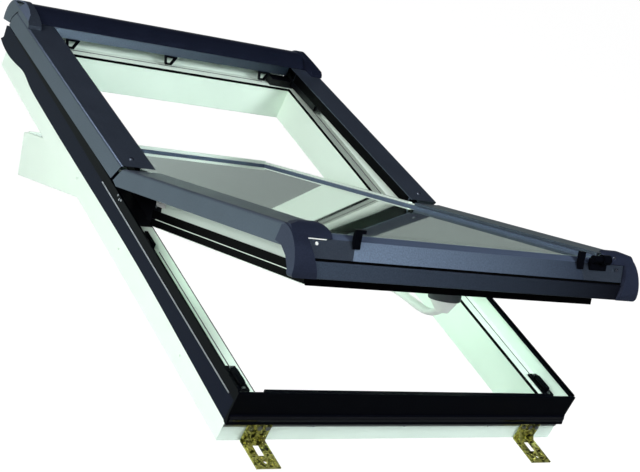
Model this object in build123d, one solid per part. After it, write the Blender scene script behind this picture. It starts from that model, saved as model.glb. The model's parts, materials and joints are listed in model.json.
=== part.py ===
from build123d import *
import math
import os

# Roof skylight, top-hung and pivoting, in its own frame without the roof around it.
# X runs across the window, Y up the slope of the roof and Z out of the roof.
# The origin is the centre of the frame's outline, on the plane of its room-side face.
# Everything is drawn shut first. The carrier and the sash are then turned to where they rest open.

# Fixed frame, white plastic sections
frame_width = 740.0
frame_length = 1180.0
stile_wall = 50.5
head_wall = 53.5
ledge_z = 80.5
ledge_width = 32.5
upstand_z = 98.0
upstand_wall = 4.5
sill_z = 29.0
sill_front_wall = 6.0
frame_round = 1.5
drain_hole_r = 2.2
drain_hole_deep = 4.0
drain_hole_z = 27.0
drain_hole_shares = (0.6, 0.405, 0.151)

# Sealing lip on the inner faces, just under the edge of the ledge
lip_wide = 1.2
lip_tall = 5.5
lip_pivot_gap = 46.0

# Dark side skirts: the lower edge hangs below the fin in shallow waves
skirt_thick = 3.0
skirt_top_z = 85.0
skirt_past_head = 20.0
skirt_tip_out = 20.0
skirt_tip_drop = 41.0
skirt_notch_out = 9.0
skirt_notch_drop = 31.0
skirt_side_out = 12.0
skirt_side_drop = 5.0
skirt_deep = 42.5
skirt_wave_along_shares = (1.0136, 0.9805, 0.9407, 0.9008, 0.8669, 0.822, 0.6271, 0.3449, 0.1331)
skirt_wave_deep_shares = (1.082, 1.106, 0.965, 0.8, 0.918, 0.976, 0.918, 0.788, 0.906)

# Black edge fins that the covers close over
fin_thick = 3.4
fin_rise = 7.0
fin_cap = 3.5
fin_lip_wide = 3.2
fin_head_gap = 30.0
fin_round = 0.6

# Black sill apron and the grey strip under it
apron_thick = 4.5
apron_low_z = 41.0
apron_lip_tall = 20.0
apron_lip_out = 5.5
apron_cap = 5.0
apron_cap_over = 0.5
apron_round = 1.0
strip_thick = 1.6
strip_low_z = 30.5
strip_tall = 10.0
strip_screw_r = 4.0
strip_screw_tall = 2.4
strip_screw_shares = (-0.527, 0.0, 0.527)

# Fixing brackets, bent from passivated sheet
bracket_inset = 68.0
bracket_width = 47.0
bracket_sheet = 2.5
bracket_bend = 2.0
bracket_leg_gap = 0.2
bracket_reach = 68.0
bracket_slot_wide = 13.0
bracket_slot_long = 26.0
bracket_slot_reach = 25.0
bracket_hole_r = 3.5
bracket_hole_reach = 54.0
bracket_gusset = 14.0
bracket_gusset_wide = 5.0
bracket_gusset_x = 15.0
bracket_screw_r = 4.4
bracket_screw_tall = 2.6
bracket_screw_z = 30.0
bracket_screw_pitch = 16.0

# Strikers and keepers on the ledge
striker_wide = 5.8
striker_long = 40.0
striker_reach = 428.0
striker_tall = 11.0
striker_inset = 0.2
keeper_wide = 21.0
keeper_long = 60.0
keeper_reach = 55.0
keeper_tall = 4.0
keeper_inset = 1.0
keeper_screw_r = 3.2
keeper_screw_tall = 1.4
keeper_screw_pitch = 50.0
keeper_hump_wide = 14.0
keeper_hump_long = 42.0
keeper_hump_tall = 6.0
keeper_hump_round = 6.5
keeper_hump_edge = 2.0

# Head hinge: the axis is also the centre of the round hood
head_axis_rise = 2.0
hinge_block_gap = 2.0
hinge_block_thick = 6.0
hinge_block_front = 18.0
hinge_block_back = 14.0
hinge_block_rise = 12.0
housing_reach = 53.5
housing_front = 49.0
housing_deep = 25.0
housing_tall = 16.5
housing_base = 2.5
housing_clear = 0.5
stud_r = 6.0
stud_clear = 0.05
stud_head_r = 8.5
stud_head_thick = 2.6
stud_head_gap = 0.6

# Round hood over the head
barrel_r = 50.0
barrel_wall = 1.6
barrel_front_deg = 143.1
barrel_back_deg = -90.0
front_strip_inset = 16.5
front_strip_thick = 2.0
front_strip_tall = 21.0
front_strip_gap = 0.05
clip_left_in = 13.0
clip_middle_x = -10.6
clip_right_in = 25.0
clip_lift = 6.5
clip_deep = 6.2
clip_top_half = 16.0
clip_foot_half = 8.0
clip_bar = 3.0

# Carrier arms, from the head hinge to the sash pivot
arm_long = 636.5
arm_gap = 8.5
arm_thick = 10.0
arm_clear = 3.5
arm_tall = 17.5
head_eye_r = 12.0
pivot_eye_r = 11.0
pivot_drop = 5.0
arm_raise = 22.0
arm_head_bend = 165.0
arm_foot_bend = 71.5
arm_bend_long = 30.0
arm_wide_gap = 4.0
arm_wide_clear = 30.0
arm_lug_shares = (0.16, 0.4, 0.64)
arm_lug_half = 12.0

# Upper covers on the carrier and lower covers on the sash
cover_gap = 1.2
cover_sheet = 1.4
cover_rise = 4.0
cover_bend_r = 5.0
upper_cover_lap = 5.0
upper_cover_head_gap = 46.0
mitre_low_out = 40.2
mitre_top_out = 19.0
rim_low_in = 16.0
rim_mid_in = 13.0
rim_mid_rise = 8.0
rim_bend_out = 0.5
rim_bend_rise = 25.0
rim_top_out = 6.0
rim_top_rise = 31.0
upper_leg_out = 1.5
upper_leg_tall = 31.0
upper_leg_reach = 42.0
upper_leg_head_gap = 51.5
cover_screw_r = 4.0
cover_screw_tall = 1.4
cover_screw_in = 32.0
cover_screw_reach = 48.5
lower_cover_lap = 4.0
lower_cover_rise = 0.4
lower_cover_clear = 14.0
point_top_out = 6.5
point_upper_in = 1.5
point_upper_rise = 31.0
point_tip_in = 29.0
point_tip_rise = 9.0
point_low_in = 14.5

# Hood end caps, turning with the carrier
cap_over = 3.0
cap_gap = 1.0
cap_disc_thick = 13.0
cap_disc_deg = (-25.0, 174.0)
cap_disc_round = 2.5
cap_band_wall = 2.5
cap_band_deg = (42.0, 124.0)
cap_rim_thick = 2.4
cap_rim_proud = 0.4
cap_rim_deg = (-14.0, 124.0)
cap_rim_gap = 1.6
cap_tab_thick = 3.0
cap_tab_front = 20.0
cap_tab_back = 16.0
cap_tab_low = 8.0
cap_tab_tall = 15.0
visor_long = 77.0
visor_nose_outs = (74.0, 66.0, 50.0, 30.0)
visor_nose_rises = (37.0, 42.5, 48.0, 51.5)
visor_back_out = 10.0
visor_bevel_wide = 15.0
visor_bevel_drop = 11.0

# Sash, white plastic sections
sash_gap = 3.5
sash_wall = 54.0
sash_low_gap = 5.0
sash_top_z = 126.0
rim_raise = 2.2
rim_raise_reach = 12.0
top_rail_raise = 5.0
sash_rebate_z = 95.0
sash_rim = 10.0
sash_foot_gap = 4.0
sash_chamfer = 6.0
sash_round = 2.0

# Double glazing
glass_margin = 0.5
pad_tall = 1.0
pane_thick = 4.0
pane_gap = 16.0
spacer_wide = 12.0
bead_wide = 10.0
bead_tall = 4.0
seal_proud = 2.0
seal_web = 0.6
seal_foot = 2.0
seal_lower_tall = 12.2
seal_web_tall = 1.6
seal_upper_tall = 14.6

# Foot of the sash: the stepped glass edge and its strip, two cover bands, their seal and the rail's gasket
pane_foot_out = 10.0
foot_shelf_gap = 0.5
foot_shelf_thick = 6.5
edge_strip_lap = 3.0
edge_strip_cover = 1.2
edge_strip_knee = 2.5
edge_strip_foot = 0.9
edge_strip_end_gap = 1.0
band_top_out = 21.0
band_top_drop = 17.0
band_low_out = 32.0
band_out = 34.5
band_back_out = 22.0
band_under_out = 14.0
upper_band_drop = 46.0
groove_tall = 4.5
groove_out = 30.5
lower_band_tall = 27.0
rail_gasket_thick = 2.0
rail_gasket_tall = 18.0
band_round = 1.5
seam_left_top_in = 123.0
seam_left_low_in = 111.0
seam_right_top_in = 140.0
seam_right_low_in = 130.0
seam_over = 6.0

# Corner caps of the sash foot: a bulging body, a thin side wall and a round lobe over the corner plate
foot_cap_proud = 2.0
foot_cap_seam_top_in = 26.0
foot_cap_seam_low_in = 46.0
foot_cap_gap = 1.5
foot_cap_front_outs = (37.0, 41.0, 39.0, 33.0, 25.0, 15.0, 4.0)
foot_cap_front_drops = (77.5, 64.0, 44.0, 28.0, 16.0, 7.0, 2.0)
foot_cap_top_in = 2.0
foot_cap_back_out = 25.0
foot_cap_back_drop = 32.0
foot_cap_hollow_out = 16.0
foot_cap_hollow_drop = 18.0
foot_cap_round = 6.0
foot_cap_wall_ins = (9.0, 20.0, 2.0, -14.0, -23.0, -25.0)
foot_cap_wall_drops = (4.0, 30.5, 34.5, 48.0, 64.0, 77.5)
lobe_reach = 74.0
lobe_low_drop = 16.0
lobe_front_outs = (23.0, 19.0, 12.0, 2.0)
lobe_front_rises = (0.0, 7.0, 15.0, 20.3)
lobe_top_in = 8.0
lobe_crown = 5.5
lobe_wall = 3.5
lobe_round = 20.0
lobe_shoulder = 24.0
hook_thick = 2.5
hook_foot_drop = 28.0
hook_top_rise = 3.0
hook_wide = 13.0
hook_left_in = 119.5
hook_tip_long = 7.0
hook_tip_tall = 6.0
hook_right_in = 140.0
knob_ins = (117.0, 95.0, 77.0)
knob_neck_r = 6.5
knob_r = 9.0
knob_out = 30.0
knob_drop = 8.0
cap_screw_r = 2.6
cap_screw_tall = 1.6
cap_screw_in = 49.0
cap_screw_drops = (5.0, 25.0)
cap_screw_outs = (14.5, 24.5)

# Pivot plates and latches on the sash stiles
plate_thick = 3.0
plate_foot = 31.5
plate_head = 32.5
plate_half_tall = 10.5
pivot_head_r = 8.5
pivot_head_gap = 0.6
pivot_head_thick = 2.6
latch_reach = 56.5
latch_long = 34.0
latch_drop = 16.5
latch_tall = 11.0
latch_proud = 1.6

# Handle on the room side of the bottom rail: a horn under the rosette that bends into a bowed grip
handle_x = 38.0
handle_reach = 86.0
rosette_r = 29.0
rosette_tall = 23.5
rosette_round = 4.0
hub_gap = 0.3
hub_top_r = 25.0
hub_low_r = 11.0
hub_tall = 21.0
grip_alongs = (0.0, 10.0, 32.0, 75.0, 120.0, 158.0)
grip_drops = (6.0, 20.0, 27.5, 22.0, 12.5, 9.0)
grip_half_wide = 11.0
grip_half_thick = 6.5

# Rest position
lift_deg = 2.0
open_deg = 23.27

# Planes and edges that follow from the sizes above
half_w = frame_width / 2
half_l = frame_length / 2
stile_in = half_w - stile_wall
head_in = half_l - head_wall
ledge_end = stile_in + ledge_width
foot_face = -half_l
fin_out = half_w + fin_thick
strip_top_z = strip_low_z + strip_tall
bracket_x = half_w - bracket_inset
head_axis_y = half_l
head_axis_z = upstand_z + head_axis_rise
arm_x = (stile_in + arm_gap, stile_in + arm_gap + arm_thick)
arm_z = (ledge_z + arm_clear, ledge_z + arm_clear + arm_tall)
pivot_y = head_axis_y - arm_long
pivot_z = head_axis_z - pivot_drop
housing_in = stile_in - housing_reach
clip_x = (clip_left_in - housing_in, clip_middle_x, housing_in - clip_right_in)
hinge_block_x = (arm_x[1] + hinge_block_gap, arm_x[1] + hinge_block_gap + hinge_block_thick)
barrel_half = hinge_block_x[1]
barrel_front_y = head_axis_y + barrel_r * math.cos(math.radians(barrel_front_deg))
barrel_front_z = head_axis_z + (barrel_r - barrel_wall) * math.sin(math.radians(barrel_front_deg))
front_strip_half = stile_in - front_strip_inset
front_strip_z = (barrel_front_z - front_strip_gap - front_strip_tall, barrel_front_z - front_strip_gap)
front_strip_back = barrel_front_y + barrel_wall
cover_half = fin_out + cover_gap + cover_sheet
cover_top_z = sash_top_z + cover_rise
upper_cover_low_z = skirt_top_z + upper_cover_lap
lower_cover_low_z = pivot_z - lower_cover_rise
sash_out = stile_in - sash_gap
sash_in = sash_out - sash_wall
rim_x = sash_out - sash_rim
sash_low_z = sill_z + sash_low_gap
sash_head_y = head_in - sash_gap
sash_foot_y = foot_face + sill_front_wall + sash_foot_gap
lower_cover_in = rim_x - lower_cover_lap
lower_cover_end = foot_face + foot_cap_top_in + foot_cap_gap
lower_cover_top_start = pivot_y - lower_cover_clear
pad_z = (sash_rebate_z, sash_rebate_z + pad_tall)
inner_pane_z = (pad_z[1], pad_z[1] + pane_thick)
pane_gap_z = (inner_pane_z[1], inner_pane_z[1] + pane_gap)
outer_pane_z = (pane_gap_z[1], pane_gap_z[1] + pane_thick)
pane_foot_y = foot_face - pane_foot_out
foot_shelf_z = (outer_pane_z[0] - foot_shelf_gap - foot_shelf_thick, outer_pane_z[0] - foot_shelf_gap)
band_top_y = foot_face - band_top_out
band_top_z = cover_top_z - band_top_drop
band_low_y = foot_face - band_low_out
upper_band_low_z = cover_top_z - upper_band_drop
groove_low_z = upper_band_low_z - groove_tall
lower_band_low_z = groove_low_z - lower_band_tall
band_back_y = foot_face - band_back_out
band_front_y = foot_face - band_out
foot_cap_end = cover_half + foot_cap_proud
foot_cap_seam_top = cover_half - foot_cap_seam_top_in
foot_cap_seam_low = cover_half - foot_cap_seam_low_in
lobe_in = cover_half - lobe_reach
seam_left_top = cover_half - seam_left_top_in
seam_left_low = cover_half - seam_left_low_in
seam_right_top = cover_half - seam_right_top_in
seam_right_low = cover_half - seam_right_low_in
hook_left_x = cover_half - hook_left_in
hook_right_x = cover_half - hook_right_in
knob_x = [cover_half - i for i in knob_ins]
cap_screw_x = cover_half - cap_screw_in
handle_y = foot_face + handle_reach
rosette_low_z = sash_low_z - rosette_tall

# Where the upper cover's side ends at the hood's rim, and where the lower one ends at the pivot
cover_head_edge = (
    (head_axis_y + rim_low_in, upper_cover_low_z),
    (head_axis_y + rim_mid_in, head_axis_z + rim_mid_rise),
    (head_axis_y - rim_bend_out, head_axis_z + rim_bend_rise),
    (head_axis_y - rim_top_out, head_axis_z + rim_top_rise),
)
cover_mitre = ((pivot_y + mitre_low_out, upper_cover_low_z), (pivot_y + mitre_top_out, cover_top_z))
cover_point = (
    (pivot_y - point_top_out, cover_top_z),
    (pivot_y + point_upper_in, pivot_z + point_upper_rise),
    (pivot_y + point_tip_in, pivot_z + point_tip_rise),
    (pivot_y + point_low_in, lower_cover_low_z),
)


def slab(xs, ys, zs):
    """Box between two values on each axis."""
    size = [b - a for a, b in (xs, ys, zs)]
    middle = [(a + b) / 2 for a, b in (xs, ys, zs)]
    return Pos(*middle) * Box(*size)


def section(points, flat_points, round_r):
    """Flat outline through points in space, with its outward corners rounded."""
    face = make_face(Polyline(points, close=True)).face()
    if round_r == 0:
        return face
    count = len(points)
    turns = []
    for i in range(count):
        (a, b), (c, d), (e, f) = flat_points[i - 1], flat_points[i], flat_points[(i + 1) % count]
        turns.append((c - a) * (f - d) - (d - b) * (e - c))
    area = sum(a * d - b * c for (a, b), (c, d) in zip(flat_points, flat_points[1:] + flat_points[:1]))
    corners = [points[i] for i in range(count) if turns[i] * area > 0]
    picked = [face.vertices().sort_by_distance(corner)[0] for corner in corners]
    return face.fillet_2d(round_r, picked)


def prism_y(points, y_from, y_to, round_r=0):
    """Section drawn as (x, z), run along Y."""
    face = section([(x, y_from, z) for x, z in points], list(points), round_r)
    return extrude(face, amount=y_to - y_from, dir=(0, 1, 0))


def prism_x(points, x_from, x_to, round_r=0):
    """Section drawn as (y, z), run along X."""
    face = section([(x_from, y, z) for y, z in points], list(points), round_r)
    return extrude(face, amount=x_to - x_from, dir=(1, 0, 0))


def rod_x(x_from, x_to, y, z, radius):
    return Pos((x_from + x_to) / 2, y, z) * Rot(0, 90, 0) * Cylinder(radius, abs(x_to - x_from))


def rod_y(x, y_from, y_to, z, radius):
    return Pos(x, (y_from + y_to) / 2, z) * Rot(90, 0, 0) * Cylinder(radius, abs(y_to - y_from))


def rod_z(x, y, z_from, z_to, radius):
    return Pos(x, y, (z_from + z_to) / 2) * Cylinder(radius, abs(z_to - z_from))


def on_head_circle(x, radius, degrees):
    angle = math.radians(degrees)
    return (x, head_axis_y + radius * math.cos(angle), head_axis_z + radius * math.sin(angle))


def ring_sector(r_in, r_out, deg_from, deg_to, x_from, x_to):
    """Part of a ring about the head axis, run along X. An inner radius of 0 gives a pie piece."""
    middle = (deg_from + deg_to) / 2
    outer = ThreePointArc(*[on_head_circle(x_from, r_out, d) for d in (deg_from, middle, deg_to)])
    if r_in > 0:
        inner = ThreePointArc(*[on_head_circle(x_from, r_in, d) for d in (deg_from, middle, deg_to)])
        edges = [outer, inner, Line(outer @ 0, inner @ 0), Line(outer @ 1, inner @ 1)]
    else:
        centre = (x_from, head_axis_y, head_axis_z)
        edges = [outer, Line(outer @ 0, centre), Line(outer @ 1, centre)]
    return extrude(make_face(edges), amount=x_to - x_from, dir=(1, 0, 0))


def cover_sheet_run(x_in, z_low, y_from, y_to):
    """Bent cover sheet: an upright outer side, a bend and a flat top, run along Y on the +X side."""
    r_in = cover_bend_r - cover_sheet
    bend_x = cover_half - cover_bend_r
    bend_z = cover_top_z - cover_bend_r
    share = math.sqrt(0.5)
    outer = ThreePointArc(
        (cover_half, y_from, bend_z),
        (bend_x + cover_bend_r * share, y_from, bend_z + cover_bend_r * share),
        (bend_x, y_from, cover_top_z),
    )
    inner = ThreePointArc(
        (cover_half - cover_sheet, y_from, bend_z),
        (bend_x + r_in * share, y_from, bend_z + r_in * share),
        (bend_x, y_from, cover_top_z - cover_sheet),
    )
    side_low = (cover_half, y_from, z_low)
    side_low_in = (cover_half - cover_sheet, y_from, z_low)
    top_end = (x_in, y_from, cover_top_z)
    top_end_in = (x_in, y_from, cover_top_z - cover_sheet)
    edges = [
        Line(side_low, outer @ 0),
        outer,
        Line(outer @ 1, top_end),
        Line(top_end, top_end_in),
        Line(top_end_in, inner @ 1),
        inner,
        Line(inner @ 0, side_low_in),
        Line(side_low_in, side_low),
    ]
    return extrude(make_face(edges), amount=y_to - y_from, dir=(0, 1, 0))


def mirrored(shape):
    return mirror(shape, Plane.YZ)


def group(shapes):
    """Separate solids kept together in one node."""
    return Compound(children=list(shapes))


def both_sides(xs, ys, zs):
    """The same block on the right and on the left."""
    return group(slab(sorted(side * x for x in xs), ys, zs) for side in (1, -1))


def frame_pieces():
    out = {}
    stile_section = [
        (stile_in, 0),
        (half_w, 0),
        (half_w, upstand_z),
        (half_w - upstand_wall, upstand_z),
        (ledge_end, ledge_z),
        (stile_in, ledge_z),
    ]
    stile = prism_y(stile_section, -half_l, half_l, frame_round)
    for share in drain_hole_shares:
        y = foot_face + share * frame_length
        stile -= rod_x(half_w - drain_hole_deep, half_w, y, drain_hole_z, drain_hole_r)
    out["frame_stile_right"] = stile
    head_section = [
        (head_in, 0),
        (half_l, 0),
        (half_l, upstand_z),
        (half_l - upstand_wall, upstand_z),
        (head_in + ledge_width, ledge_z),
        (head_in, ledge_z),
    ]
    out["frame_head"] = prism_x(head_section, -stile_in, stile_in, frame_round)
    sill_section = [
        (-head_in, 0),
        (foot_face, 0),
        (foot_face, upstand_z),
        (foot_face + sill_front_wall, upstand_z),
        (foot_face + sill_front_wall, sill_z),
        (-head_in, sill_z),
    ]
    out["frame_sill"] = prism_x(sill_section, -stile_in, stile_in, frame_round)

    lip_z = (ledge_z - lip_tall, ledge_z)
    lip_x = stile_in - lip_wide
    lip_y = (foot_face + sill_front_wall, head_in)
    lip_inside = slab((-lip_x, lip_x), (lip_y[0], head_in - lip_wide), lip_z)
    pivot_break = slab((-stile_in, stile_in), (pivot_y - lip_pivot_gap, pivot_y + lip_pivot_gap), lip_z)
    out["frame_lip"] = slab((-stile_in, stile_in), lip_y, lip_z) - lip_inside - pivot_break

    out["side_skirt_right"] = side_skirt()

    fin_top_z = upstand_z + fin_rise
    fin_cap_z = upstand_z + fin_cap
    fin_section = [
        (half_w, skirt_top_z),
        (fin_out, skirt_top_z),
        (fin_out, fin_top_z),
        (fin_out - fin_lip_wide, fin_top_z),
        (fin_out - fin_lip_wide, fin_cap_z),
        (half_w - upstand_wall, fin_cap_z),
        (half_w - upstand_wall, upstand_z),
        (half_w, upstand_z),
    ]
    out["edge_fin_right"] = prism_y(fin_section, foot_face, half_l - fin_head_gap)

    front = foot_face - apron_thick
    apron_top_z = upstand_z + apron_cap
    apron_back = foot_face + sill_front_wall + apron_cap_over
    apron_section = [
        (foot_face, apron_low_z),
        (front - apron_lip_out, apron_low_z),
        (front, apron_low_z + apron_lip_tall),
        (front, apron_top_z),
        (apron_back, apron_top_z),
        (apron_back, upstand_z),
        (foot_face, upstand_z),
    ]
    apron = prism_x(apron_section, -stile_in, stile_in, apron_round)
    end_section = apron_section[:4] + [(foot_face, apron_top_z)]
    apron_end = prism_x(end_section, stile_in, fin_out, apron_round)
    out["sill_apron"] = apron + apron_end + mirrored(apron_end)
    strip_face = foot_face - strip_thick
    out["sill_strip"] = slab((-half_w, half_w), (strip_face, foot_face), (strip_low_z, strip_top_z))
    strip_mid_z = (strip_low_z + strip_top_z) / 2
    out["strip_screws"] = group(
        rod_y(share * half_w, strip_face - strip_screw_tall, strip_face, strip_mid_z, strip_screw_r)
        for share in strip_screw_shares
    )

    out["foot_bracket_right"] = bracket(strip_face, -1)
    out["head_bracket_right"] = bracket(half_l, 1)
    screws = []
    for centre in (-bracket_x, bracket_x):
        for step in (-1, 0, 1):
            x = centre + step * bracket_screw_pitch
            for face_y, outward in ((strip_face, -1), (half_l, 1)):
                start = face_y + outward * bracket_sheet
                end = start + outward * bracket_screw_tall
                screws.append(rod_y(x, start, end, bracket_screw_z, bracket_screw_r))
    out["bracket_screws"] = group(screws)

    striker_end = ledge_end - striker_inset
    striker_y = foot_face + striker_reach
    out["strikers"] = both_sides(
        (striker_end - striker_wide, striker_end),
        (striker_y - striker_long / 2, striker_y + striker_long / 2),
        (ledge_z, ledge_z + striker_tall),
    )
    keeper_end = ledge_end - keeper_inset
    keeper_y = foot_face + keeper_reach
    keeper_top = ledge_z + keeper_tall
    keeper_plate = slab(
        (keeper_end - keeper_wide, keeper_end),
        (keeper_y - keeper_long / 2, keeper_y + keeper_long / 2),
        (ledge_z, keeper_top),
    )
    hump = extrude(RectangleRounded(keeper_hump_wide, keeper_hump_long, keeper_hump_round), keeper_hump_tall)
    hump = fillet(hump.faces().sort_by(Axis.Z)[-1].edges(), keeper_hump_edge)
    keeper = keeper_plate + Pos(keeper_end - keeper_wide / 2, keeper_y, keeper_top) * hump
    out["keepers"] = group((keeper, mirrored(keeper)))
    out["keeper_screws"] = group(
        rod_z(
            side * (keeper_end - keeper_wide / 2),
            keeper_y + end * keeper_screw_pitch / 2,
            keeper_top,
            keeper_top + keeper_screw_tall,
            keeper_screw_r,
        )
        for side in (-1, 1)
        for end in (-1, 1)
    )

    block = slab(
        hinge_block_x,
        (head_axis_y - hinge_block_front, head_axis_y + hinge_block_back),
        (ledge_z, head_axis_z + hinge_block_rise),
    )
    housing_y = (head_axis_y - housing_front, head_axis_y - housing_front + housing_deep)
    block += slab((housing_in, hinge_block_x[1]), housing_y, (ledge_z, ledge_z + housing_base))
    block += slab((housing_in, stile_in + housing_clear), housing_y, (ledge_z, ledge_z + housing_tall))
    block += slab(hinge_block_x, (housing_y[0], head_axis_y), (ledge_z, ledge_z + housing_tall))
    stud_end = arm_x[0] - stud_head_gap
    stud = rod_x(stud_end - stud_head_thick, hinge_block_x[0], head_axis_y, head_axis_z, stud_r)
    stud_head = rod_x(stud_end - stud_head_thick, stud_end, head_axis_y, head_axis_z, stud_head_r)
    out["head_hinge_right"] = block + stud + stud_head

    out["hood_barrel"] = ring_sector(
        barrel_r - barrel_wall, barrel_r, barrel_back_deg, barrel_front_deg, -barrel_half, barrel_half
    )
    out["hood_front_strip"] = slab(
        (-front_strip_half, front_strip_half),
        (front_strip_back - front_strip_thick, front_strip_back),
        front_strip_z,
    )
    out["hood_clips"] = group(hood_clip(x) for x in clip_x)
    return out


def side_skirt():
    """Sheet along the outer side of the stile, with a wavy lower edge and a swept tip at the head."""
    drops = [share * skirt_deep for share in skirt_wave_deep_shares]
    alongs = [foot_face + share * frame_length for share in skirt_wave_along_shares]
    wave = [(half_w, y, skirt_top_z - drop) for y, drop in zip(alongs, drops)]
    corner_y = half_l + skirt_past_head
    top = (half_w, corner_y, skirt_top_z)
    side = (half_w, corner_y + skirt_side_out, skirt_top_z - skirt_side_drop)
    notch = (half_w, corner_y + skirt_notch_out, skirt_top_z - skirt_notch_drop)
    tip = (half_w, corner_y + skirt_tip_out, skirt_top_z - skirt_tip_drop)
    foot_low = (half_w, foot_face, skirt_top_z - skirt_deep)
    foot_top = (half_w, foot_face, skirt_top_z)
    edges = [
        Spline(tip, *wave, foot_low),
        Line(foot_low, foot_top),
        Line(foot_top, top),
        Line(top, side),
        Line(side, notch),
        Line(notch, tip),
    ]
    return extrude(make_face(edges), amount=skirt_thick, dir=(1, 0, 0))


def bracket(face_y, outward):
    """Angle bracket on the +X side: a leg on the frame's end face and a flange in the room-side plane."""
    xs = (bracket_x - bracket_width / 2, bracket_x + bracket_width / 2)
    leg_z = strip_top_z + bracket_leg_gap
    leg = slab(xs, sorted((face_y, face_y + outward * bracket_sheet)), (0, leg_z))
    end_y = outward * (half_l + bracket_reach)
    flange = slab(xs, sorted((face_y, end_y)), (0, bracket_sheet))
    slot_y = face_y + outward * bracket_slot_reach
    slot = slab(
        (bracket_x - bracket_slot_wide / 2, bracket_x + bracket_slot_wide / 2),
        (slot_y - bracket_slot_long / 2, slot_y + bracket_slot_long / 2),
        (0, bracket_sheet),
    )
    hole = rod_z(bracket_x, outward * (half_l + bracket_hole_reach), 0, bracket_sheet, bracket_hole_r)
    shape = leg + flange - slot - hole
    outer_bend = shape.edges().filter_by(Axis.X).sort_by_distance((bracket_x, face_y, 0))[0]
    shape = fillet(outer_bend, bracket_bend)
    inner_y = face_y + outward * bracket_sheet
    gusset_section = [
        (inner_y, bracket_sheet),
        (inner_y + outward * bracket_gusset, bracket_sheet),
        (inner_y, bracket_sheet + bracket_gusset),
    ]
    for offset in (-bracket_gusset_x, bracket_gusset_x):
        x = bracket_x + offset
        shape += prism_x(gusset_section, x - bracket_gusset_wide / 2, x + bracket_gusset_wide / 2)
    return shape


def hood_clip(x):
    """Open trapezoid clip between the ledge of the head and the hood's front strip."""
    low = ledge_z + clip_lift
    high = front_strip_z[0]
    ys = (front_strip_back - clip_deep, front_strip_back)
    outline = [
        (x - clip_top_half, high),
        (x + clip_top_half, high),
        (x + clip_foot_half, low),
        (x - clip_foot_half, low),
    ]
    inner = [
        (x - clip_top_half + 2 * clip_bar, high - clip_bar),
        (x + clip_top_half - 2 * clip_bar, high - clip_bar),
        (x + clip_foot_half - clip_bar, low + clip_bar),
        (x - clip_foot_half + clip_bar, low + clip_bar),
    ]
    return prism_y(outline, *ys) - prism_y(inner, *ys)


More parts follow.
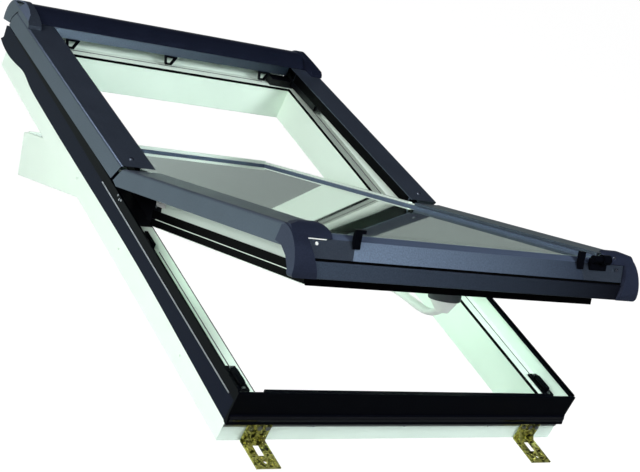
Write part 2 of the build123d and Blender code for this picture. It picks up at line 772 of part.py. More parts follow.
def carrier_pieces():
    out = {}
    head_bend_y = head_axis_y - arm_head_bend
    foot_bend_y = pivot_y + arm_foot_bend
    raised_z = (arm_z[0] + arm_raise, arm_z[1] + arm_raise)
    outline = [
        (head_axis_y, arm_z[0]),
        (head_bend_y, arm_z[0]),
        (head_bend_y - arm_bend_long, raised_z[0]),
        (foot_bend_y, raised_z[0]),
        (pivot_y, pivot_z - pivot_eye_r),
        (pivot_y, pivot_z + pivot_eye_r),
        (foot_bend_y - arm_bend_long / 2, raised_z[1]),
        (head_bend_y - arm_bend_long / 2, raised_z[1]),
        (head_bend_y + arm_bend_long / 2, arm_z[1]),
        (head_axis_y, arm_z[1]),
    ]
    arm = prism_x(outline, *arm_x)
    arm += rod_x(*arm_x, head_axis_y, head_axis_z, head_eye_r)
    arm += rod_x(*arm_x, pivot_y, pivot_z, pivot_eye_r)
    wide_x = (stile_in + arm_wide_gap, arm_x[0])
    arm += slab(wide_x, (head_bend_y, head_axis_y - arm_wide_clear), arm_z)
    for share in arm_lug_shares:
        y = pivot_y + share * arm_long
        arm += slab(arm_x, (y - arm_lug_half, y + arm_lug_half), (raised_z[1], cover_top_z - cover_sheet))
    bore_r = stud_r + stud_clear
    arm -= rod_x(*arm_x, head_axis_y, head_axis_z, bore_r)
    arm -= rod_x(*arm_x, pivot_y, pivot_z, bore_r)
    out["carrier_arm_right"] = arm

    low_end = cover_mitre[1][0]
    high_end = max(y for y, z in cover_head_edge)
    sheet = cover_sheet_run(rim_x, upper_cover_low_z, low_end, high_end)
    low_corner = [cover_mitre[0], cover_mitre[1], (low_end, upper_cover_low_z)]
    sheet -= prism_x(low_corner, rim_x, cover_half)
    head_corner = list(cover_head_edge) + [(high_end, cover_head_edge[-1][1]), (high_end, upper_cover_low_z)]
    sheet -= prism_x(head_corner, rim_x, cover_half)
    top_clear = slab(
        (rim_x, cover_half - cover_bend_r),
        (head_axis_y - upper_cover_head_gap, high_end),
        (upper_cover_low_z, cover_top_z),
    )
    leg_x = (stile_in + upper_leg_out, stile_in + upper_leg_out + cover_sheet)
    leg_y = (pivot_y + upper_leg_reach, head_axis_y - upper_leg_head_gap)
    leg = slab(leg_x, leg_y, (cover_top_z - upper_leg_tall, cover_top_z))
    out["upper_cover_right"] = sheet - top_clear + leg
    out["cover_screws"] = group(
        rod_z(
            side * (cover_half - cover_screw_in),
            pivot_y + cover_screw_reach,
            cover_top_z,
            cover_top_z + cover_screw_tall,
            cover_screw_r,
        )
        for side in (-1, 1)
    )

    cap_r = barrel_r + cap_over
    disc_x = (barrel_half + cap_gap, barrel_half + cap_gap + cap_disc_thick)
    rim_end = cover_half + cap_rim_proud
    cap_rim_x = (rim_end - cap_rim_thick, rim_end)
    disc = ring_sector(0, cap_r, *cap_disc_deg, *disc_x)
    band = ring_sector(cap_r - cap_band_wall, cap_r, *cap_band_deg, disc_x[1], rim_end)
    rim = ring_sector(0, cap_r, *cap_rim_deg, *cap_rim_x)
    inside = [(y + cap_rim_gap, z + cap_rim_gap) for y, z in cover_head_edge]
    opening = [
        (head_axis_y - cap_r, upper_cover_low_z - cap_r),
        (inside[0][0], upper_cover_low_z - cap_r),
        *inside,
        (head_axis_y - cap_r, head_axis_z + cap_r),
    ]
    rim -= prism_x(opening, *cap_rim_x)
    tab_end = cover_half - cover_sheet
    tab = slab(
        (tab_end - cap_tab_thick, tab_end),
        (head_axis_y - cap_tab_front, head_axis_y + cap_tab_back),
        (head_axis_z + cap_tab_low, head_axis_z + cap_tab_low + cap_tab_tall),
    )
    nose = [(head_axis_y - o, head_axis_z + r) for o, r in zip(visor_nose_outs, visor_nose_rises)]
    visor = [
        (head_axis_y - visor_back_out, cover_top_z),
        (head_axis_y - visor_long, cover_top_z),
        *nose,
        (head_axis_y, head_axis_z + cap_r),
        (head_axis_y, head_axis_z + cap_r - cap_band_wall),
    ]
    hood_cap = disc + band + rim + prism_x(visor, disc_x[0], rim_end)
    bevel_top = head_axis_z + cap_r
    bevel = [
        (rim_end - visor_bevel_wide, bevel_top),
        (rim_end, bevel_top - visor_bevel_drop),
        (rim_end, bevel_top + visor_bevel_drop),
        (rim_end - visor_bevel_wide, bevel_top + visor_bevel_drop),
    ]
    hood_cap -= prism_y(bevel, head_axis_y - visor_long, head_axis_y + cap_r)
    out["hood_cap_right"] = hood_cap + tab
    return out


def sash_stile_section(top_z):
    """Outline of a sash stile in XZ, with the rim outside the glass as high as top_z."""
    return [
        (sash_in + sash_chamfer, sash_low_z),
        (sash_out, sash_low_z),
        (sash_out, top_z),
        (rim_x, top_z),
        (rim_x, sash_rebate_z),
        (sash_in, sash_rebate_z),
        (sash_in, sash_low_z + sash_chamfer),
    ]


def sash_pieces():
    out = {}
    raise_y = pivot_y + rim_raise_reach
    stile = prism_y(sash_stile_section(sash_top_z), sash_foot_y, raise_y, sash_round)
    stile += prism_y(sash_stile_section(sash_top_z + rim_raise), raise_y, sash_head_y, sash_round)
    out["sash_stile_right"] = stile
    rails = (
        ("sash_top_rail", sash_head_y, -1, sash_top_z + top_rail_raise),
        ("sash_bottom_rail", sash_foot_y, 1, foot_shelf_z[1]),
    )
    for name, edge_y, inward, rail_top_z in rails:
        rim_y = edge_y + inward * sash_rim
        rail_y = edge_y + inward * sash_wall
        rail_section = [
            (edge_y, sash_low_z),
            (edge_y, rail_top_z),
            (rim_y, rail_top_z),
            (rim_y, sash_rebate_z),
            (rail_y, sash_rebate_z),
            (rail_y, sash_low_z + sash_chamfer),
            (rail_y - inward * sash_chamfer, sash_low_z),
        ]
        rail = prism_x(rail_section, -rim_x, rim_x, sash_round)
        notch = slab((sash_in, rim_x), sorted((edge_y, rail_y)), (sash_low_z, sash_rebate_z))
        out[name] = rail - notch - mirrored(notch)

    glass_x = rim_x - glass_margin
    glass_y = (sash_foot_y + sash_rim + glass_margin, sash_head_y - sash_rim - glass_margin)
    out["glazing_pad"] = ring_plate(glass_x, glass_y, spacer_wide, pad_z)
    out["inner_pane"] = slab((-glass_x, glass_x), glass_y, inner_pane_z)
    out["pane_spacer"] = ring_plate(glass_x, glass_y, spacer_wide, pane_gap_z)
    out["outer_pane"] = slab((-glass_x, glass_x), (pane_foot_y, glass_y[1]), outer_pane_z)
    bead_z = (outer_pane_z[1], outer_pane_z[1] + bead_tall)
    bead_y = (sash_foot_y, sash_head_y - sash_rim)
    bead_inside = slab((-rim_x + bead_wide, rim_x - bead_wide), (bead_y[0], bead_y[1] - bead_wide), bead_z)
    out["glazing_bead"] = slab((-rim_x, rim_x), bead_y, bead_z) - bead_inside

    seal_y = (sash_foot_y, pivot_y - plate_foot)
    seal_z = [sash_low_z + seal_foot]
    for tall in (seal_lower_tall, seal_web_tall, seal_upper_tall):
        seal_z.append(seal_z[-1] + tall)
    seal_end = sash_out + seal_proud
    web_end = sash_out + seal_web
    seal_section = [
        (sash_out, seal_z[0]),
        (seal_end, seal_z[0]),
        (seal_end, seal_z[1]),
        (web_end, seal_z[1]),
        (web_end, seal_z[2]),
        (seal_end, seal_z[2]),
        (seal_end, seal_z[3]),
        (sash_out, seal_z[3]),
    ]
    out["sash_seal_right"] = prism_y(seal_section, *seal_y)

    start = max(y for y, z in cover_point)
    sheet = cover_sheet_run(lower_cover_in, lower_cover_low_z, lower_cover_end, start)
    leg_x = (lower_cover_in, lower_cover_in + cover_sheet)
    sheet += slab(leg_x, (lower_cover_end, lower_cover_top_start), (bead_z[1], cover_top_z))
    top, upper, tip, low = cover_point
    sheet -= prism_x([top, upper, tip, (start, cover_top_z)], lower_cover_in, cover_half)
    sheet -= prism_x([low, tip, (start, lower_cover_low_z)], lower_cover_in, cover_half)
    sheet -= slab(
        (lower_cover_in, cover_half - cover_bend_r),
        (lower_cover_top_start, start),
        (lower_cover_low_z, cover_top_z),
    )
    out["lower_cover_right"] = sheet

    out.update(foot_pieces())

    plate_end = sash_out + plate_thick
    plate = slab(
        (sash_out, plate_end),
        (pivot_y - plate_foot, pivot_y + plate_head),
        (pivot_z - plate_half_tall, pivot_z + plate_half_tall),
    )
    head_start = arm_x[1] + pivot_head_gap
    stud = rod_x(plate_end, head_start + pivot_head_thick, pivot_y, pivot_z, stud_r)
    stud_head = rod_x(head_start, head_start + pivot_head_thick, pivot_y, pivot_z, pivot_head_r)
    out["pivot_plate_right"] = plate + stud + stud_head
    latch_y = pivot_y - latch_reach
    latch_z = pivot_z - latch_drop
    out["latches"] = both_sides(
        (sash_out, sash_out + latch_proud),
        (latch_y - latch_long / 2, latch_y + latch_long / 2),
        (latch_z - latch_tall / 2, latch_z + latch_tall / 2),
    )

    rosette = rod_z(handle_x, handle_y, rosette_low_z, sash_low_z, rosette_r)
    out["handle_rosette"] = fillet(rosette.edges().group_by(Axis.Z)[0], rosette_round)
    return out


def ring_plate(half_x, ys, wide, zs):
    """Flat rectangular ring."""
    inside = slab((-half_x + wide, half_x - wide), (ys[0] + wide, ys[1] - wide), zs)
    return slab((-half_x, half_x), ys, zs) - inside


def seam_block(gap):
    """Everything between the two slanting seams of the corner caps, less a gap."""
    top = foot_cap_seam_top - gap
    low = foot_cap_seam_low - gap
    outline = [(-top, band_top_z), (-low, lower_band_low_z), (low, lower_band_low_z), (top, band_top_z)]
    shelf_z = foot_shelf_z[1] + seam_over
    outline = [(-top, shelf_z)] + outline + [(top, shelf_z)]
    return prism_y(outline, band_front_y, sash_foot_y)


def foot_pieces():
    """Glass edge strip, bands, seals, plates, hooks and caps that close the foot of the sash over the sill."""
    out = {}
    strip_x = lobe_in - edge_strip_end_gap
    strip_top = outer_pane_z[1] + edge_strip_cover
    strip_section = [
        (pane_foot_y, foot_shelf_z[1]),
        (pane_foot_y, outer_pane_z[1]),
        (pane_foot_y + edge_strip_lap, outer_pane_z[1]),
        (pane_foot_y + edge_strip_lap, strip_top),
        (pane_foot_y - edge_strip_knee, strip_top),
        (band_top_y, band_top_z + edge_strip_foot),
        (band_top_y, band_top_z),
    ]
    out["foot_bead"] = prism_x(strip_section, -strip_x, strip_x)

    upper_section = [
        (sash_foot_y, foot_shelf_z[1]),
        (pane_foot_y, foot_shelf_z[1]),
        (band_top_y, band_top_z),
        (band_low_y, upper_band_low_z),
        (band_back_y, upper_band_low_z),
        (foot_face - band_under_out, foot_shelf_z[0]),
        (sash_foot_y, foot_shelf_z[0]),
    ]
    between = seam_block(foot_cap_gap)
    upper_run = prism_x(upper_section, -cover_half, cover_half) & between
    seams = [
        (-seam_left_top, foot_shelf_z[1] + seam_over),
        (-seam_left_low, upper_band_low_z - seam_over),
        (seam_right_low, upper_band_low_z - seam_over),
        (seam_right_top, foot_shelf_z[1] + seam_over),
    ]
    middle = prism_y(seams, band_front_y, sash_foot_y)
    sides = upper_run - middle
    out["foot_cover_upper"] = upper_run - sides
    plates = sides.solids().sort_by(Axis.X)
    out["corner_plate_left"] = plates[0]
    out["corner_plate_right"] = plates[-1]
    groove_y = (foot_face - groove_out, band_back_y)
    groove_seal = slab((-cover_half, cover_half), groove_y, (groove_low_z, upper_band_low_z)) & between
    lower_section = [
        (band_front_y, lower_band_low_z),
        (band_front_y, groove_low_z),
        (band_back_y, groove_low_z),
        (band_back_y, lower_band_low_z),
    ]
    out["foot_cover_lower"] = prism_x(lower_section, -cover_half, cover_half, band_round) & between
    gasket_y = (sash_foot_y - rail_gasket_thick, sash_foot_y)
    gasket = slab((-sash_out, sash_out), gasket_y, (sash_low_z, sash_low_z + rail_gasket_tall))
    out["foot_seals"] = group([groove_seal, gasket])

    cap = corner_cap()
    out["corner_cap_right"] = cap
    out["foot_hooks"] = group(foot_hooks())
    screws = []
    for drop, screw_out in zip(cap_screw_drops, cap_screw_outs):
        y = foot_face - screw_out
        z = cover_top_z - drop
        screw = rod_y(cap_screw_x, y - 2 * cap_screw_tall, y + cap_screw_tall, z, cap_screw_r)
        screws.append((screw - cap - upper_run).solids().sort_by(Axis.Y)[0])
    out["cap_screws"] = group(screws)
    return out


def corner_cap():
    """Cap on the right corner of the foot."""
    front = [(foot_face - o, cover_top_z - d) for o, d in zip(foot_cap_front_outs, foot_cap_front_drops)]
    top_back = (foot_face + foot_cap_top_in, cover_top_z)
    low_back = (foot_face - foot_cap_back_out, lower_band_low_z)
    mid_back = (foot_face - foot_cap_back_out, cover_top_z - foot_cap_back_drop)
    hollow = (foot_face - foot_cap_hollow_out, cover_top_z - foot_cap_hollow_drop)
    top_low = (foot_face + foot_cap_top_in, cover_top_z - foot_cap_top_in)
    body = yz_solid(front + [top_back], [top_low, hollow, mid_back, low_back], lobe_in, foot_cap_end)
    outline = [
        (foot_cap_seam_low, lower_band_low_z),
        (foot_cap_end, lower_band_low_z),
        (foot_cap_end, cover_top_z),
        (foot_cap_seam_top, cover_top_z),
        (foot_cap_seam_top, band_top_z),
    ]
    deepest = foot_face - 2 * max(foot_cap_front_outs)
    wall_points = [(foot_face + i, cover_top_z - d) for i, d in zip(foot_cap_wall_ins, foot_cap_wall_drops)]
    wall = yz_solid(front, wall_points, cover_half, foot_cap_end)
    shape = (body + wall) & rounded_y(outline, outline[1], foot_cap_round, deepest)
    lobe_z = cover_top_z - lobe_low_drop
    crown = cover_top_z + lobe_crown
    rise = [(foot_face - o, lobe_z + r) for o, r in zip(lobe_front_outs, lobe_front_rises)]
    rise.append((foot_face + lobe_top_in, crown))
    inner = [(y + lobe_wall, z - lobe_wall) for y, z in rise[1:]]
    inner = [(rise[-1][0], crown - lobe_wall)] + inner[-2::-1] + [(rise[0][0] + lobe_wall, lobe_z)]
    lobe = yz_solid(rise, inner, lobe_in, cover_half)
    lobe_outline = [
        (lobe_in, lobe_z),
        (lobe_in, crown),
        (cover_half - lobe_shoulder, crown),
        (cover_half, cover_top_z),
        (cover_half, lobe_z),
    ]
    return shape + (lobe & rounded_y(lobe_outline, lobe_outline[1], lobe_round, deepest))


def rounded_y(outline, corner, round_r, y_from):
    """Outline drawn as (x, z) with one rounded corner, run along Y to well behind the foot."""
    face = section([(x, y_from, z) for x, z in outline], outline, 0)
    picked = face.vertices().sort_by_distance((corner[0], y_from, corner[1]))[0]
    return extrude(face.fillet_2d(round_r, [picked]), amount=-y_from, dir=(0, 1, 0))


def yz_solid(curve_points, line_points, x_from, x_to):
    """Solid run along X between a smooth curve, drawn as (y, z), and a line through further points."""
    curve = Spline(*[(x_from, y, z) for y, z in curve_points])
    line = Polyline(curve @ 1, *[(x_from, y, z) for y, z in line_points], curve @ 0)
    return extrude(make_face([curve] + line.edges()), amount=x_to - x_from, dir=(1, 0, 0))


def foot_hooks():
    """Hook on the left corner plate, and a post and a knob on the right one."""
    foot_z = cover_top_z - hook_foot_drop
    slope = (band_top_y - band_low_y) / (band_top_z - upper_band_low_z)
    foot_y = band_top_y - (band_top_z - foot_z) * slope
    front_y = foot_y - hook_thick
    top_z = cover_top_z + hook_top_rise
    back = [(band_top_y, band_top_z), (foot_y, foot_z), (front_y, foot_z)]
    post = back + [(front_y, top_z), (band_top_y, top_z)]
    half = hook_wide / 2
    tip_x = (-hook_left_x + half, -hook_left_x + half + hook_tip_long)
    tip = slab(tip_x, (front_y, band_top_y), (top_z - hook_tip_tall, top_z))
    left = prism_x(post, -hook_left_x - half, -hook_left_x + half) + tip
    right = prism_x(post, hook_right_x - half, hook_right_x + half)
    knob_y = foot_face - knob_out
    knob_z = cover_top_z - knob_drop
    seat = back + [(front_y, knob_z), (band_top_y, knob_z)]
    knob = prism_x(seat, knob_x[0], knob_x[2])
    knob += rod_x(knob_x[0], knob_x[1], knob_y, knob_z, knob_neck_r)
    knob += rod_x(knob_x[1], knob_x[2], knob_y, knob_z, knob_r)
    return [left, right, knob]


def handle_pieces():
    hub_top_z = rosette_low_z - hub_gap
    horn = Pos(handle_x, handle_y, hub_top_z - hub_tall / 2) * Cone(hub_low_r, hub_top_r, hub_tall)
    points = [(handle_x, handle_y + a, hub_top_z - d) for a, d in zip(grip_alongs, grip_drops)]
    path = Spline(*points)
    across = Plane(origin=path @ 0, x_dir=(1, 0, 0), z_dir=path % 0)
    grip = sweep(across * Ellipse(grip_half_wide, grip_half_thick), path=path)
    return {"handle": horn + grip}


def with_left_side(pieces):
    """Adds the mirror image of every piece named as a right one, unless the left one is already there."""
    out = {}
    for name, shape in pieces.items():
        out[name] = shape
        left = name.replace("_right", "_left")
        if left != name and left not in pieces:
            out[left] = mirrored(shape)
    return out


head_axis = Axis((0, head_axis_y, head_axis_z), (1, 0, 0))
pivot_axis = Axis((0, pivot_y, pivot_z), (1, 0, 0))


def carried(shape):
    return shape.rotate(head_axis, -lift_deg)


def pivoted(shape):
    return carried(shape.rotate(pivot_axis, -open_deg))


pieces = {}
for name, shape in with_left_side(frame_pieces()).items():
    pieces[name] = shape
for name, shape in with_left_side(carrier_pieces()).items():
    pieces[name] = carried(shape)
for name, shape in with_left_side(sash_pieces()).items():
    pieces[name] = pivoted(shape)
for name, shape in handle_pieces().items():
    pieces[name] = pivoted(shape)

os.makedirs("parts", exist_ok=True)
for name, shape in pieces.items():
    export_step(shape, "parts/" + name + ".step")
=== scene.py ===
import json
import math

import bmesh
import bpy
from mathutils import Matrix, Vector


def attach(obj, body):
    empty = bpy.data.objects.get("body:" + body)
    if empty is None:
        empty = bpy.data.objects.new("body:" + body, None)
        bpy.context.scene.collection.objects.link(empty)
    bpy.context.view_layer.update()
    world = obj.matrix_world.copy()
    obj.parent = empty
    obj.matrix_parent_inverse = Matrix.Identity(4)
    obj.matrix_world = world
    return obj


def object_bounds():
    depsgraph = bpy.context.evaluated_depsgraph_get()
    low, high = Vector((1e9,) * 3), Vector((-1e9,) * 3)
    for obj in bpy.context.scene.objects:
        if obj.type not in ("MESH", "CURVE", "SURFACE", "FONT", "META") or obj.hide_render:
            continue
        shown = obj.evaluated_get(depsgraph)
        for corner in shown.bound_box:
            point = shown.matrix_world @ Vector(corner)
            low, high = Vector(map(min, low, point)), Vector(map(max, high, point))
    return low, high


# Roof skylight, half open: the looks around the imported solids
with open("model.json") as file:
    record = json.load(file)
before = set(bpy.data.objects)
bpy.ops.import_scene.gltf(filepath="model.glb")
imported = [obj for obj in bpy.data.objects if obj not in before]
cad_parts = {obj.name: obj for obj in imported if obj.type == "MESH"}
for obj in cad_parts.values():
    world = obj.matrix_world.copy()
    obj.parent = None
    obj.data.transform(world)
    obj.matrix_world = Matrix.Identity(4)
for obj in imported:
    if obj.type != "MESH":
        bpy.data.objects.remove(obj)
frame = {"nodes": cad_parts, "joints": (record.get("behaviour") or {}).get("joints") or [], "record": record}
cad_low, cad_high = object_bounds()

MM = 0.001


def opened(hinge):
    """The turn of a hinge from the window shut, at the low end of its range, to where it rests."""
    there = Matrix.Translation(Vector(hinge["pos_m"]))
    angle = math.radians(-hinge["range_deg"][0])
    return there @ Matrix.Rotation(angle, 4, Vector(hinge["axis"])) @ there.inverted()


def reach(node, axis):
    """Lowest and highest place of a solid along an axis, in mm."""
    places = [vertex.co["xyz".index(axis)] / MM for vertex in frame["nodes"][node].data.vertices]
    return min(places), max(places)


hinges = {joint["name"]: joint for joint in frame["joints"]}
carrier_rest = opened(hinges["carrier_tilt"])
sash_rest = opened(hinges["sash_pivot"]) @ carrier_rest
body_rest = {"frame": Matrix(), "carrier": carrier_rest, "sash": sash_rest}


# Finishes

# Numbers of a Mix node's sockets, which can't be told apart by name
FACTOR = 0
VALUE_A, VALUE_B = 2, 3
COLOUR_A, COLOUR_B = 6, 7
MIXED_COLOUR = 2


def colour(hex_code):
    """sRGB hex to the linear colour that Blender's sockets take."""
    parts = [int(hex_code[i:i + 2], 16) / 255 for i in (1, 3, 5)]
    return [c / 12.92 if c <= 0.04045 else ((c + 0.055) / 1.055) ** 2.4 for c in parts] + [1.0]


def per_metre(size_mm):
    """Scale of a pattern whose patches measure so many mm."""
    return 1.0 / (size_mm * MM)


def add(tree, kind, settings=(), links=()):
    """Adds a node: settings go to its sockets by name or number, or else to its properties."""
    node = tree.nodes.new(kind)
    for key, value in dict(settings).items():
        if isinstance(key, int) or key in node.inputs:
            node.inputs[key].default_value = value
        else:
            setattr(node, key, value)
    for key, socket in dict(links).items():
        tree.links.new(socket, node.inputs[key])
    return node


def start(name, **sockets):
    """A new material: its node tree, its shader with the values that are the same all over, and its place."""
    material = bpy.data.materials.new(name)
    material.use_nodes = True
    tree = material.node_tree
    shader = tree.nodes["Principled BSDF"]
    for socket, value in sockets.items():
        shader.inputs[socket.replace("_", " ")].default_value = value
    place = add(tree, "ShaderNodeTexCoord").outputs["Object"]
    return material, tree, shader, place


def tinted(tree, shader, tone, value, darkest, lightest):
    """Colours the shader with a tone, from its darkest to its lightest where value goes from 0 to 1."""
    shade = add(tree, "ShaderNodeMapRange", {"To Min": darkest, "To Max": lightest}, {"Value": value})
    multiply = {"data_type": "RGBA", "blend_type": "MULTIPLY", FACTOR: 1.0, COLOUR_A: colour(tone)}
    tint = add(tree, "ShaderNodeMix", multiply, {COLOUR_B: shade.outputs[0]})
    tree.links.new(tint.outputs[MIXED_COLOUR], shader.inputs["Base Color"])
    return tint


def glossed(tree, shader, value, smoothest, roughest):
    """Roughness from smoothest to roughest where value goes from 0 to 1."""
    gloss = add(tree, "ShaderNodeMapRange", {"To Min": smoothest, "To Max": roughest}, {"Value": value})
    tree.links.new(gloss.outputs[0], shader.inputs["Roughness"])


def raised(tree, shader, height, strength, depth_mm):
    """A faint relief on the surface, which follows a pattern."""
    bump = add(tree, "ShaderNodeBump", {"Strength": strength, "Distance": depth_mm * MM}, {"Height": height})
    tree.links.new(bump.outputs[0], shader.inputs["Normal"])


def white_plastic(name, tone):
    """Smooth white plastic, extruded PVC or moulded ABS: a soft gloss, faintly uneven along the piece."""
    patch_mm = 111.0
    material, tree, shader, place = start(name, IOR=1.53)
    cloud = add(tree, "ShaderNodeTexNoise", {"Scale": per_metre(patch_mm), "Detail": 3.0}, {"Vector": place})
    tinted(tree, shader, tone, cloud.outputs[0], darkest=0.94, lightest=1.02)
    glossed(tree, shader, cloud.outputs[0], smoothest=0.28, roughest=0.42)
    return material


# Real lacquer flakes are too fine to show, so they are drawn this coarse
flake_mm = 2.38
flake_relief = {"strength": 0.12, "depth_mm": 0.4}
flake_shades = {"darkest": 0.6, "lightest": 1.4}


def metallic_lacquer(name, tone, rough, metallic):
    """Metallic lacquer, baked on aluminium sheet or sprayed on plastic: flaky, its gloss a little cloudy."""
    patch_mm = 71.4
    gloss_spread = 0.06
    flake_share = 0.6
    material, tree, shader, place = start(name, IOR=1.5, Metallic=metallic)
    flakes = add(tree, "ShaderNodeTexNoise", {"Scale": per_metre(flake_mm), "Detail": 2.0}, {"Vector": place})
    cloud = add(tree, "ShaderNodeTexNoise", {"Scale": per_metre(patch_mm), "Detail": 4.0}, {"Vector": place})
    patterns = {VALUE_A: cloud.outputs[0], VALUE_B: flakes.outputs[0]}
    speckle = add(tree, "ShaderNodeMix", {FACTOR: flake_share}, patterns)
    tinted(tree, shader, tone, speckle.outputs[0], **flake_shades)
    glossed(tree, shader, cloud.outputs[0], rough - gloss_spread, rough + gloss_spread)
    raised(tree, shader, flakes.outputs[0], **flake_relief)
    return material


def painted_light_fade_lacquer(name, lit_left_tone, shaded_right_tone, half_mm, rough):
    """Metallic lacquer on a long band, with a painted fade of the light in its tone: lit at the left end,
    painted shade at the right.
    """
    material, tree, shader, place = start(name, IOR=1.5, Metallic=0.35, Roughness=rough)
    across = add(tree, "ShaderNodeSeparateXYZ", {}, {0: place})
    ends = {"From Min": -half_mm * MM, "From Max": half_mm * MM}
    share = add(tree, "ShaderNodeMapRange", ends, {"Value": across.outputs["X"]})
    tones = {"data_type": "RGBA", COLOUR_A: colour(lit_left_tone), COLOUR_B: colour(shaded_right_tone)}
    painted_fade = add(tree, "ShaderNodeMix", tones, {FACTOR: share.outputs[0]})
    flakes = add(tree, "ShaderNodeTexNoise", {"Scale": per_metre(flake_mm), "Detail": 2.0}, {"Vector": place})
    tint = tinted(tree, shader, lit_left_tone, flakes.outputs[0], **flake_shades)
    tree.links.new(painted_fade.outputs[MIXED_COLOUR], tint.inputs[COLOUR_A])
    raised(tree, shader, flakes.outputs[0], **flake_relief)
    return material


def grained_plastic(name, tone, rough, grain_mm, ior):
    """Moulded plastic or powder-coated steel: its grain, drawn coarser than it is, dims the highlights."""
    material, tree, shader, place = start(name, IOR=ior, Roughness=rough)
    grain = add(tree, "ShaderNodeTexNoise", {"Scale": per_metre(grain_mm), "Detail": 3.0}, {"Vector": place})
    tinted(tree, shader, tone, grain.outputs[0], darkest=0.8, lightest=1.2)
    raised(tree, shader, grain.outputs[0], strength=0.1, depth_mm=0.6)
    return material


def seal_rubber(name, tone):
    """EPDM seal, extruded: deep black with a dull sheen."""
    patch_mm = 16.7
    material, tree, shader, place = start(name, IOR=1.12)
    cloud = add(tree, "ShaderNodeTexNoise", {"Scale": per_metre(patch_mm), "Detail": 3.0}, {"Vector": place})
    tinted(tree, shader, tone, cloud.outputs[0], darkest=0.6, lightest=1.4)
    glossed(tree, shader, cloud.outputs[0], smoothest=0.4, roughest=0.6)
    return material


def drawn_aluminium(name, tone, rough, metallic):
    """Extruded aluminium: die lines along its length, drawn coarser than they are."""
    line_mm = 1.11
    streak_mm = 83.3
    gloss_spread = 0.12
    material, tree, shader, place = start(name, Metallic=metallic)
    stretch = (per_metre(streak_mm), per_metre(streak_mm), per_metre(line_mm))
    long_way = add(tree, "ShaderNodeMapping", {"Scale": stretch}, {"Vector": place})
    lines = add(tree, "ShaderNodeTexNoise", {"Scale": 1.0, "Detail": 2.0}, {"Vector": long_way.outputs[0]})
    tinted(tree, shader, tone, lines.outputs[0], darkest=0.8, lightest=1.0)
    glossed(tree, shader, lines.outputs[0], rough, rough + gloss_spread)
    return material


def yellow_zinc(name):
    """Zinc plating with a yellow chromate film on steel: brassy, drifting to dark olive in places."""
    patch_mm = 9.09
    material, tree, shader, place = start(name, Metallic=0.75)
    mottle = {"Scale": per_metre(patch_mm), "Detail": 2.0, "Distortion": 0.8}
    drift = add(tree, "ShaderNodeTexNoise", mottle, {"Vector": place})
    film = add(tree, "ShaderNodeValToRGB", {}, {0: drift.outputs[0]})
    stops = film.color_ramp.elements
    for stop, position, tone in ((stops[0], 0.36, "#2a2810"), (stops[1], 0.66, "#3d3a1c")):
        stop.position = position
        stop.color = colour(tone)
    for position, tone in ((0.43, "#8a8c32"), (0.49, "#ecec8c"), (0.56, "#cfc866")):
        stop = stops.new(position)
        stop.color = colour(tone)
    tree.links.new(film.outputs[0], shader.inputs["Base Color"])
    glossed(tree, shader, drift.outputs[0], smoothest=0.16, roughest=0.34)
    return material


def plated_steel(name, tone):
    """Bright zinc on pressed steel: pale grey metal, slightly mottled."""
    patch_mm = 6.25
    material, tree, shader, place = start(name, Metallic=1.0)
    cloud = add(tree, "ShaderNodeTexNoise", {"Scale": per_metre(patch_mm), "Detail": 2.0}, {"Vector": place})
    tinted(tree, shader, tone, cloud.outputs[0], darkest=0.75, lightest=1.15)
    glossed(tree, shader, cloud.outputs[0], smoothest=0.2, roughest=0.36)
    return material


def float_glass(name, tone, shadow_tone):
    """Coated float glass, slightly green in depth, smooth enough to mirror at a low angle."""
    wave_mm = 333.0
    material, tree, shader, place = start(
        name, Base_Color=colour(tone), Transmission_Weight=1.0, IOR=1.5, Coat_Weight=1.0
    )
    wave = add(tree, "ShaderNodeTexNoise", {"Scale": per_metre(wave_mm), "Detail": 1.0}, {"Vector": place})
    glossed(tree, shader, wave.outputs[0], smoothest=0.0, roughest=0.004)
    # Lamps shine through the pane on to what is behind it
    rays = add(tree, "ShaderNodeLightPath")
    clear = add(tree, "ShaderNodeBsdfTransparent", {"Color": colour(shadow_tone)})
    ways = {0: rays.outputs["Is Shadow Ray"], 1: shader.outputs[0], 2: clear.outputs[0]}
    pane = add(tree, "ShaderNodeMixShader", {}, ways)
    tree.links.new(pane.outputs[0], tree.nodes["Material Output"].inputs["Surface"])
    return material


pvc = white_plastic("extruded_white_pvc", "#e6f7e8")
handle_abs = white_plastic("white_handle_plastic", "#eef0ea")
anthracite = metallic_lacquer("anthracite_metallic_lacquer", "#5a6472", rough=0.34, metallic=0.8)
# A darker copy of the anthracite lacquer, as painted shade on the hood's barrel and its right cap
hood_painted_shade = metallic_lacquer("hood_lacquer_painted_shade", "#2c3246", rough=0.3, metallic=0.7)
cap_abs = metallic_lacquer("lacquered_cap_plastic", "#3a4156", rough=0.42, metallic=0.7)
# The bands at the foot and the strip on the hood carry a painted fade of the light: lit on the left, painted
# shade on the right
band_painted_light_fade = painted_light_fade_lacquer("band_lacquer_painted_light_fade", "#74859a", "#232a38", half_mm=290.0, rough=0.42)
low_band_painted_light_fade = painted_light_fade_lacquer("low_band_lacquer_painted_light_fade", "#424d5c", "#0a0c14", half_mm=330.0, rough=0.4)
strip_painted_light_fade = painted_light_fade_lacquer("strip_lacquer_painted_light_fade", "#6c798d", "#18232f", half_mm=300.0, rough=0.4)
black_abs = grained_plastic("black_moulded_plastic", "#05060a", rough=0.34, grain_mm=1.2, ior=1.12)
